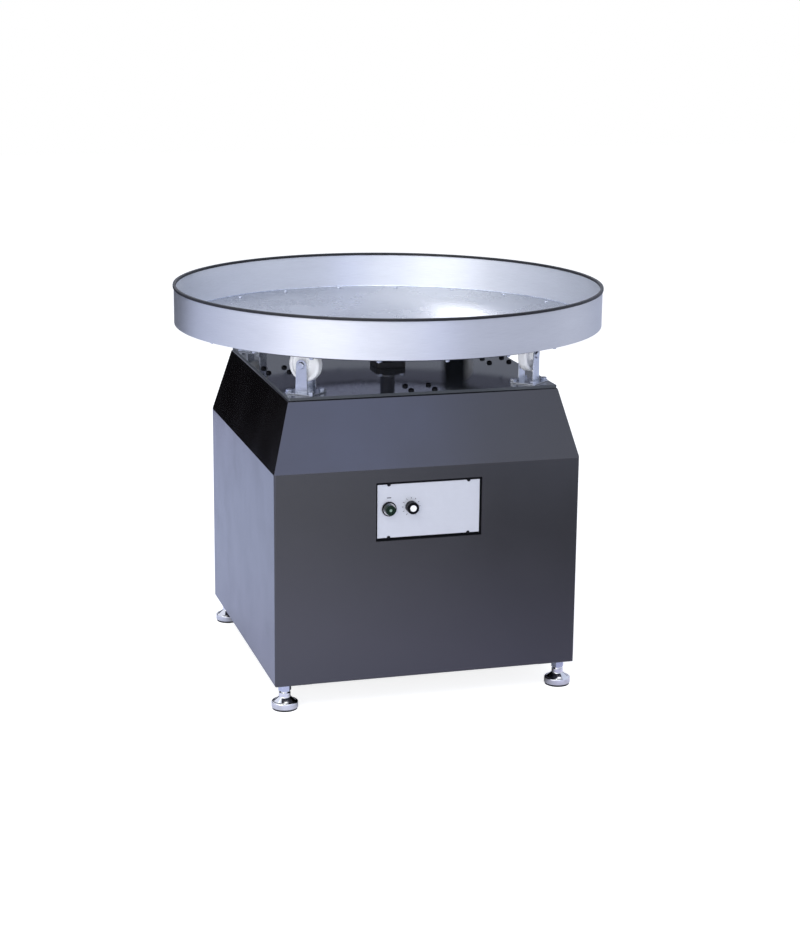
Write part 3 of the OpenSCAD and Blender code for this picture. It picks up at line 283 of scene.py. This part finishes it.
def metal(name, colour, roughness, streak=(1, 1, 1), bump=0.06, grain=700.0, metallic=1.0, clouds=0.12):
    """Plated, ground or cast metal, told apart by the grain's stretch and depth."""
    t = Tree(name)
    cloud = t.noise(60.0, 4.0, 0.6)
    fine = t.noise(grain, 4.0, 0.65, stretch=streak)
    tones = [(0.3, shade(colour, 1 - clouds)), (0.6, colour), (0.8, shade(colour, 1 + clouds))]
    t.set(Base_Color=t.ramp(cloud, tones), Metallic=metallic,
          Roughness=t.span(fine, roughness * 0.75, roughness * 1.35),
          Normal=t.bump(fine, bump, 0.08 * MM))
    return t.material


def moulded(name, colour, roughness, ior=1.5, grain=900.0, bump=0.12, cloud=0.12, gloss=0.5):
    """Moulded plastic or rubber with a fine skin; a lower gloss level keeps blacks deep."""
    t = Tree(name)
    wide = t.noise(35.0, 3.0)
    fine = t.noise(grain, 3.0, 0.6)
    t.set(Base_Color=t.tones(wide, colour, 1 - cloud, 1 + cloud),
          Roughness=t.span(fine, roughness * 0.85, roughness * 1.15),
          IOR=ior, Specular_IOR_Level=gloss,
          Normal=t.bump(fine, bump, 0.05 * MM))
    return t.material


def button_plastic(name, rim, centre):
    """Dark button with a lighter green middle that is a painted highlight."""
    t = Tree(name)
    x, _, z = t.xyz()
    low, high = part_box("push_button")
    mid = (low + high) / 2
    radius = t.length(t.math("SUBTRACT", x, mid.x), t.math("SUBTRACT", z, mid.z))
    share = t.share(radius, CENTRE_HIGHLIGHT_R * (1 - CENTRE_HIGHLIGHT_BLUR), CENTRE_HIGHLIGHT_R * (1 + CENTRE_HIGHLIGHT_BLUR))
    wide = t.noise(220.0, 3.0)
    tint = t.mix(share, t.tones(wide, centre, 0.85, 1.15), t.tones(wide, rim, 0.9, 1.1))
    t.set(Base_Color=tint, Roughness=t.span(wide, 0.22, 0.32), IOR=1.5, Specular_IOR_Level=0.14,
          Normal=t.bump(t.noise(900.0), 0.05, 0.03 * MM))
    return t.material


MATERIALS = {
    "cabinet_paint": paint("charcoal_enamel", (0.0070, 0.0060, 0.0068), ior=1.85),
    "deck_paint": paint("deck_enamel", (0.073, 0.081, 0.091), roughness=0.07, peel=0.04,
                        matt_beyond=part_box("deck_plate")[1].x - 0.1 * MM),
    "motor_paint": paint("motor_enamel", (0.03, 0.035, 0.05), roughness=0.35, ior=1.5),
    # The inside factor paints light onto the rim's inner side.
    "rim_steel": brushed_band("brushed_rim_sheet", (0.722, 0.732, 0.742), 0.46, inside=1.19),
    "table_aluminium": rolled_plate("rolled_table_plate", (0.46, 0.48, 0.515), 0.26),
    "chrome": metal("polished_chrome", (0.84, 0.83, 0.79), 0.10, bump=0.02),
    "zinc": metal("bright_zinc", (0.57, 0.60, 0.655), 0.24, bump=0.08),
    "bare_steel": metal("oiled_steel", (0.07, 0.07, 0.08), 0.36, bump=0.1),
    "bearing_steel": metal("ground_steel", (0.50, 0.51, 0.53), 0.2, streak=(1, 1, 0.05)),
    "black_steel": metal("black_oxide", (0.02, 0.02, 0.022), 0.38, bump=0.1),
    "cast_aluminium": metal("cast_aluminium", (0.52, 0.53, 0.55), 0.5, bump=0.35, grain=350.0),
    "coupling_aluminium": metal("turned_aluminium", (0.60, 0.61, 0.63), 0.28, streak=(0.05, 0.05, 1)),
    "control_aluminium": metal("anodised_plate", (0.685, 0.70, 0.735), 0.42, streak=(0.06, 1, 1), bump=0.08,
                               metallic=0.4, clouds=0.02),
    "black_cast_iron": moulded("black_cast_iron", (0.006, 0.006, 0.007), 0.42, grain=300.0, bump=0.5),
    "black_rubber": moulded("black_rubber", (0.006, 0.006, 0.007), 0.55, ior=1.4),
    "trim_rubber": moulded("trim_rubber", (0.003, 0.003, 0.004), 0.5),
    "spider_rubber": moulded("orange_rubber", (0.45, 0.10, 0.04), 0.5),
    "black_plastic": moulded("black_plastic", (0.003, 0.003, 0.004), 0.34, ior=1.35, gloss=0.16),
    "grey_plastic": moulded("grey_plastic", (0.22, 0.22, 0.24), 0.4),
    "white_plastic": moulded("white_plastic", (0.93, 0.93, 0.94), 0.3, cloud=0.02),
    "wheel_plastic": moulded("white_nylon", (0.94, 0.95, 0.97), 0.35, cloud=0.02),
    "board_green": moulded("board_green", (0.02, 0.16, 0.06), 0.3),
    # The second colour is the button's painted highlight in its middle.
    "green_plastic": button_plastic("green_button", (0.006, 0.018, 0.010), (0.26, 0.36, 0.30)),
}

# Softened edges: the width of the bevel in millimetres on each node that shows its edges.
EDGE_WIDTHS = {
    "front_panel": 0.15, "rear_panel": 0.15, "left_panel": 0.15, "right_panel": 0.15,
    "deck_plate": 0.25, "bearing_housing": 1.0, "caster_fasteners": 0.35, "drive_bolts": 0.35,
    "foot_lock_nuts": 0.5, "spare_hole_screws": 0.2, "hub_flange": 0.5, "hub_studs": 0.3,
    "control_plate": 0.15, "panel_screws": 0.15, "rim_screws_and_nuts": 0.2, "access_cover": 0.2,
    "track_ring": 0.5, "motor_bracket": 0.8, "gear_case": 0.8, "gear_case_cover": 0.8,
    "control_enclosure": 0.5, "contact_block": 0.4, "supply_gland": 0.3,
    **{f"caster_fork_{c}": 0.4 for c in CORNERS},
}


def dress_nodes():
    """Gives each CAD node its procedural material, and softens the edges that catch light."""
    for name, node in nodes.items():
        slot = node.data.materials[0].name
        node.data.materials[0] = MATERIALS[slot]
        if name in EDGE_WIDTHS:
            soften(node, EDGE_WIDTHS[name] * MM)


def soften(node, width):
    """Bevels a node's edges with modifiers only, so its own vertices stay as they are."""
    attributes = node.data.attributes
    for name in ("custom_normal", "sharp_edge"):
        if name in attributes:
            attributes.remove(attributes[name])
    node.data.shade_smooth()
    weld = node.modifiers.new("weld", "WELD")
    weld.merge_threshold = WELD_MM * MM
    flat = node.modifiers.new("flat", "DECIMATE")
    flat.decimate_type = "DISSOLVE"
    flat.angle_limit = math.radians(FLAT_ANGLE)
    bevel = node.modifiers.new("bevel", "BEVEL")
    bevel.width = width
    bevel.segments = BEVEL_SEGMENTS
    bevel.limit_method = "ANGLE"
    bevel.angle_limit = math.radians(BEVEL_ANGLE)
    bevel.use_clamp_overlap = False
    bevel.miter_outer = "MITER_SHARP"
    normals = node.modifiers.new("normals", "WEIGHTED_NORMAL")
    normals.mode = "FACE_AREA"


def mix_colours(tree, factor, near, far):
    """Colour that goes from near to far with the factor; either may be a colour or a socket."""
    mix = tree.nodes.new("ShaderNodeMix")
    mix.data_type = "RGBA"
    tree.links.new(factor, mix.inputs[0])
    for socket, value in ((mix.inputs[6], near), (mix.inputs[7], far)):
        if isinstance(value, bpy.types.NodeSocket):
            tree.links.new(value, socket)
        else:
            socket.default_value = rgba(value)
    return mix.outputs[2]


def emit_by_ray(tree, seen, reflected, other):
    """Colour that camera and transmitted rays, reflected rays and all other rays see."""
    path = tree.nodes.new("ShaderNodeLightPath")
    straight = tree.nodes.new("ShaderNodeMath")
    straight.operation = "MAXIMUM"
    tree.links.new(path.outputs["Is Camera Ray"], straight.inputs[0])
    tree.links.new(path.outputs["Is Transmission Ray"], straight.inputs[1])
    indirect = mix_colours(tree, path.outputs["Is Glossy Ray"], other, reflected)
    return mix_colours(tree, straight.outputs[0], indirect, seen)


def turn_colour(tree, value, limits, near, far):
    """Colour that goes from near to far as the value goes from the first limit to the second."""
    share = tree.nodes.new("ShaderNodeMapRange")
    tree.links.new(value, share.inputs["Value"])
    share.inputs["From Min"].default_value, share.inputs["From Max"].default_value = limits
    return mix_colours(tree, share.outputs[0], near, far)


def build_world():
    """White to the camera; to reflections, a horizon dim at the back under a sky dim at the right."""
    bpy.context.scene.view_settings.view_transform = "Standard"
    world = bpy.data.worlds.new("studio")
    bpy.context.scene.world = world
    world.use_nodes = True
    tree = world.node_tree
    direction = tree.nodes.new("ShaderNodeTexCoord")
    parts = tree.nodes.new("ShaderNodeSeparateXYZ")
    tree.links.new(direction.outputs["Generated"], parts.inputs[0])
    x, y, z = parts.outputs
    horizon = turn_colour(tree, y, FRONT_TURN, REFLECTED_HORIZON, REFLECTED_FRONT)
    sky = turn_colour(tree, x, RIGHT_TURN, REFLECTED_SKY, REFLECTED_SKY_RIGHT)
    reflected = turn_colour(tree, z, HORIZON_TOP, horizon, sky)
    tree.links.new(emit_by_ray(tree, BACKDROP, reflected, FILL), tree.nodes["Background"].inputs["Color"])


def flat_piece(name, corners, material):
    mesh = bpy.data.meshes.new(name)
    mesh.from_pydata(corners, [], [tuple(range(len(corners)))])
    piece = bpy.data.objects.new(name, mesh)
    mesh.materials.append(material)
    bpy.context.scene.collection.objects.link(piece)
    return piece


def floor_reflected(t, x, y):
    """Glow that reflections see: painted light in rings round a centre, and a painted shadow under the
    cabinet where it has none.
    """
    centre_x, centre_y = FLOOR_GLOW_CENTRE
    away = t.length(t.math("SUBTRACT", x, centre_x), t.math("SUBTRACT", y, centre_y))
    rings = t.ramp(t.math("DIVIDE", away, FLOOR_GLOW_REACH), FLOOR_GLOW_STOPS)
    out = t.math("MAXIMUM", t.math("ABSOLUTE", x), t.math("ABSOLUTE", y))
    return t.mix(t.share(out, *FLOOR_SHADOW_HALF), rgba(0.0), rings)


def floor_albedo(t, x, y):
    """Grained grey; reflections see it darker to the right, in front of the cabinet, as painted shade."""
    yaw = math.radians(CAMERA_YAW)
    across = t.math("SUBTRACT", t.math("MULTIPLY", x, math.cos(yaw)), t.math("MULTIPLY", y, math.sin(yaw)))
    dark = t.math("MULTIPLY", t.share(across, *FLOOR_PAINTED_SHADE_ACROSS), t.share(y, *FLOOR_PAINTED_SHADE_FRONT))
    dark = t.math("MULTIPLY", dark, FLOOR_PAINTED_SHADE_SHARE)
    dark = t.math("MULTIPLY", dark, t.add("LightPath").outputs["Is Glossy Ray"])
    return t.mix(dark, t.tones(t.noise(30.0, 4.0), FLOOR_ALBEDO, 0.99, 1.0), rgba(0.0))


def build_floor():
    t = Tree("studio_floor")
    x, y, _ = t.xyz()
    diffuse = t.add("BsdfDiffuse", {"Color": floor_albedo(t, x, y)})
    colour = emit_by_ray(t.material.node_tree, FLOOR_GLOW_SEEN, floor_reflected(t, x, y), 0.0)
    glow = t.add("Emission", {"Color": colour, "Strength": 1.0})
    both = t.add("AddShader", {0: diffuse.outputs[0], 1: glow.outputs[0]})
    t.links.new(both.outputs[0], t.nodes["Material Output"].inputs["Surface"])
    t.nodes.remove(t.shader)
    h = FLOOR_HALF
    floor = flat_piece("floor", [(-h, -h, 0), (h, -h, 0), (h, h, 0), (-h, h, 0)], t.material)


def black_card_material(name, soft):
    """Dull black; a soft card fades out towards its two sides."""
    t = Tree(name)
    black = t.ramp(t.noise(20.0), [(NOISE_LOW, 0.0), (NOISE_HIGH, 0.002)])
    t.set(Base_Color=black, Roughness=1.0, Specular_IOR_Level=0.0)
    if soft:
        across = t.xyz(t.add("TexCoord").outputs["Generated"])[0]
        from_middle = t.math("ABSOLUTE", t.math("SUBTRACT", across, 0.5))
        t.set(Alpha=t.share(from_middle, 0.5, 0.28))
    return t.material


def build_cards():
    """Black cards seen only in reflections: one darkens the left shoulder, one paints shade on a strip of
    the deck.
    """
    yaw = math.radians(CAMERA_YAW)
    across, away = Vector((math.cos(yaw), math.sin(yaw), 0)), Vector((-math.sin(yaw), math.cos(yaw), 0))
    half = across * DECK_SHADE_CARD_WIDTH / 2
    middle = across * DECK_SHADE_CARD_ACROSS + away * DECK_SHADE_CARD_AWAY
    low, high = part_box("deck_plate")[1].z + MM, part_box("track_ring")[0].z - MM
    # The deck card is painted shade: the deck mirrors it as a dark streak.
    cards = {"left_card": (Vector(LEFT_CARD_START), Vector(LEFT_CARD_END), 0.0, LEFT_CARD_TOP),
             "deck_shade_card": (middle - half, middle + half, low, high)}
    for name, (start, end, bottom, top) in cards.items():
        up = Vector((0, 0, 1))
        corners = [start + up * bottom, end + up * bottom, end + up * top, start + up * top]
        card = flat_piece(name, corners, black_card_material(name, name == "deck_shade_card"))
        card.visible_camera = False
        card.visible_diffuse = False
        card.visible_shadow = False
        card.visible_transmission = False


def area_light(name, at, target, width, height, radiance, colour, glossy=True):
    """Soft box given by the brightness of its face, where 1 is white; glossy shows it in reflections."""
    light = bpy.data.lights.new(name, "AREA")
    light.shape = "RECTANGLE"
    light.size, light.size_y = width, height
    light.energy = radiance * math.pi * width * height
    light.color = colour
    lamp = bpy.data.objects.new(name, light)
    bpy.context.scene.collection.objects.link(lamp)
    lamp.location = at
    lamp.rotation_euler = (Vector(at) - Vector(target)).to_track_quat("Z", "Y").to_euler()
    lamp.visible_camera = False
    lamp.visible_glossy = glossy
    return lamp


def around(angle, distance, z):
    """Point at an angle from the front towards the left, in degrees."""
    a = math.radians(angle)
    return Vector((-math.sin(a) * distance, -math.cos(a) * distance, z))


def build_lights():
    middle = Vector((0, 0, 0.6))
    upper = Vector((0, 0, 0.75))
    disc = Vector((0, 0, 0.7))
    white = (1.0, 1.0, 1.0)
    area_light("key", around(50, 3.4, 1.45), middle, 2.5, 2.2, 0.95, (1.0, 0.99, 0.98))
    area_light("front_top", around(36, 2.6, 3.3), upper, 3.4, 1.6, 2.6, (0.97, 0.99, 1.03))
    area_light("top", Vector((0.2, -0.4, 3.0)), disc, 2.4, 2.4, 0.9, white)
    area_light("back", Vector((0.88, 2.15, 1.47)), Vector((0, -0.2, 0.75)), 0.17, 0.46, 5.2,
               (1.0, 0.98, 0.98))
    area_light("left_top", around(88, 2.4, 2.7), upper, 1.6, 1.0, 1.6, white)
    area_light("low_front", around(20, 3.0, 0.9), Vector((0, 0, 0.65)), 2.0, 0.8, 6.0, white, glossy=False)
    area_light("rear_top", around(196, 2.8, 3.2), disc, 2.0, 1.2, 1.2, white)
    area_light("front_right", Vector((0.47, -3.5, 1.55)), Vector((0, -0.28, 0.58)), 1.15, 1.1, 0.53,
               (0.62, 0.82, 1.85))


def build_camera():
    yaw, pitch, roll = (math.radians(v) for v in (CAMERA_YAW, CAMERA_PITCH, CAMERA_ROLL))
    level = Vector((-math.sin(yaw), math.cos(yaw), 0))
    right = Vector((math.cos(yaw), math.sin(yaw), 0))
    forward = level * math.cos(pitch) + Vector((0, 0, math.sin(pitch)))
    up = Vector((0, 0, math.cos(pitch))) - level * math.sin(pitch)
    rolled_right = right * math.cos(roll) + up * math.sin(roll)
    rolled_up = up * math.cos(roll) - right * math.sin(roll)
    data = bpy.data.cameras.new("camera")
    data.sensor_width = SENSOR
    data.lens = FOCAL_PX * SENSOR / IMAGE_LONG_SIDE
    data.clip_start, data.clip_end = 0.05, 100.0
    camera = bpy.data.objects.new("camera", data)
    bpy.context.scene.collection.objects.link(camera)
    turn = Matrix((rolled_right, rolled_up, -forward)).transposed()
    camera.matrix_world = Matrix.Translation(CAMERA_AT) @ turn.to_4x4()
    bpy.context.scene.camera = camera


# Added pieces.


def ring_piece(name, profile, segments, body, slot, place=None):
    """Closed ring turned about Z from an outline of (radius, height) points, then put in its place."""
    mesh = bpy.data.meshes.new(name)
    made = bmesh.new()
    loops = []
    for i in range(segments):
        a = 2 * math.pi * i / segments
        loops.append([made.verts.new((r * math.cos(a), r * math.sin(a), z)) for r, z in profile])
    for i, loop in enumerate(loops):
        after = loops[(i + 1) % segments]
        for j in range(len(profile)):
            k = (j + 1) % len(profile)
            made.faces.new((loop[j], after[j], after[k], loop[k]))
    if place:
        made.transform(place)
    mesh.shade_smooth()
    return finish_piece(name, mesh, made, body, slot)


def finish_piece(name, mesh, made, body, slot):
    """Turns the built mesh into a piece of a slot's material that rides on a body."""
    bmesh.ops.recalc_face_normals(made, faces=made.faces)
    made.to_mesh(mesh)
    made.free()
    mesh.materials.append(MATERIALS[slot])
    piece = bpy.data.objects.new(name, mesh)
    bpy.context.scene.collection.objects.link(piece)
    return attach(piece, body)


def arc(centre, radius, start, end, steps=ARC_STEPS):
    """Points along an arc from the start angle to the end angle, in degrees."""
    angles = [math.radians(start + (end - start) * i / steps) for i in range(steps + 1)]
    return [(centre[0] + radius * math.cos(a), centre[1] + radius * math.sin(a)) for a in angles]


def build_pan_bead():
    """Weld bead in the corner between the table plate and the rim band."""
    disc_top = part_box("table_disc")[1].z
    bead, buried = 2.2 * MM, 0.05 * MM
    corner_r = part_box("rim_band")[1].x - RIM_SHEET - buried
    corner_z = disc_top + buried
    face = arc((corner_r - bead, corner_z + bead), bead, 0, -90)
    profile = [(corner_r, corner_z), (corner_r, corner_z + bead)] + face[1:]
    ring_piece("pan_bead", profile, LATHE_FACES, "turntable", "zinc")


def front_place(x, y, z):
    """Turns a piece from facing +Z to facing the front, at a point of the front."""
    return Matrix.Translation((x, y, z)) @ Matrix.Rotation(math.radians(90), 4, "X")


def build_bezel_ring():
    """Black outer ring on the push button's bright bezel."""
    low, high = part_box("button_bezel")
    middle = (low + high) / 2
    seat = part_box("control_plate")[0].y
    skin, crown, inner_r, buried = 0.15 * MM, 1.3 * MM, 12.9 * MM, 0.4 * MM
    outer_r, top = (high.x - low.x) / 2 + skin, seat - low.y + skin
    profile = [(outer_r, skin)] + arc((outer_r - crown, top - crown), crown, 0, 90)
    profile += [(inner_r, top), (inner_r, top - buried), (outer_r - crown, top - buried),
                (outer_r - buried, top - crown), (outer_r - buried, skin)]
    place = front_place(middle.x, seat, middle.z)
    ring_piece("bezel_ring", profile, KNOB_FACES, "cabinet", "black_plastic", place)


def build_marks():
    """Plain printed marks: a scale of ticks round the knob, and a bar over the button."""
    mesh = bpy.data.meshes.new("plate_marks")
    made = bmesh.new()
    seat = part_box("control_plate")[0].y
    knob = sum(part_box("speed_knob"), Vector()) / 2
    bezel_low, bezel_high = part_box("button_bezel")
    film = 0.1 * MM
    tick_w, tick_h, reach = 0.9 * MM, 3.4 * MM, 18.2 * MM
    bar_w, bar_h, bar_rise = 9 * MM, 1.8 * MM, 8 * MM
    ticks, sweep = 11, 300
    middle = Matrix.Translation((knob.x, seat - film / 2, knob.z))
    for i in range(ticks):
        turn = Matrix.Rotation(math.radians(sweep * (i / (ticks - 1) - 0.5)), 4, "Y")
        out = Matrix.Translation((0, 0, reach)) @ Matrix.Diagonal((tick_w, film, tick_h, 1))
        bmesh.ops.create_cube(made, size=1, matrix=middle @ turn @ out)
    above = Matrix.Translation(((bezel_low.x + bezel_high.x) / 2, seat - film / 2, bezel_high.z + bar_rise))
    bmesh.ops.create_cube(made, size=1, matrix=above @ Matrix.Diagonal((bar_w, film, bar_h, 1)))
    finish_piece("plate_marks", mesh, made, "cabinet", "black_plastic")


def build_vent_shade_sheet():
    """Black pleated sheet on the inside of the access cover, behind its slots: painted shade, standing in
    for the dark inside of the cabinet.
    """
    low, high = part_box("access_cover")
    middle = (low + high) / 2
    width, height, depth, sheet = 170 * MM, 116 * MM, 4 * MM, 0.8 * MM
    folds = 68
    section = ((0, -height / 2), (0, height / 2), (sheet, height / 2), (sheet, -height / 2))
    mesh = bpy.data.meshes.new("vent_shade_sheet")
    made = bmesh.new()
    columns = []
    for i in range(folds + 1):
        x, y = middle.x + width * (i / folds - 0.5), low.y - depth * (i % 2)
        columns.append([made.verts.new((x, y - inward, middle.z + up)) for inward, up in section])
    for column, after in zip(columns, columns[1:]):
        for j in range(len(section)):
            k = (j + 1) % len(section)
            made.faces.new((column[j], after[j], after[k], column[k]))
    for end in (columns[0], columns[-1]):
        made.faces.new(end)
    finish_piece("vent_shade_sheet", mesh, made, "cabinet", "black_rubber")


clear_default_scene()
build_camera()
build_world()
build_floor()
build_cards()
build_lights()
dress_nodes()
build_pan_bead()
build_bezel_ring()
build_marks()
# Painted shade behind the access cover's slots.
build_vent_shade_sheet()
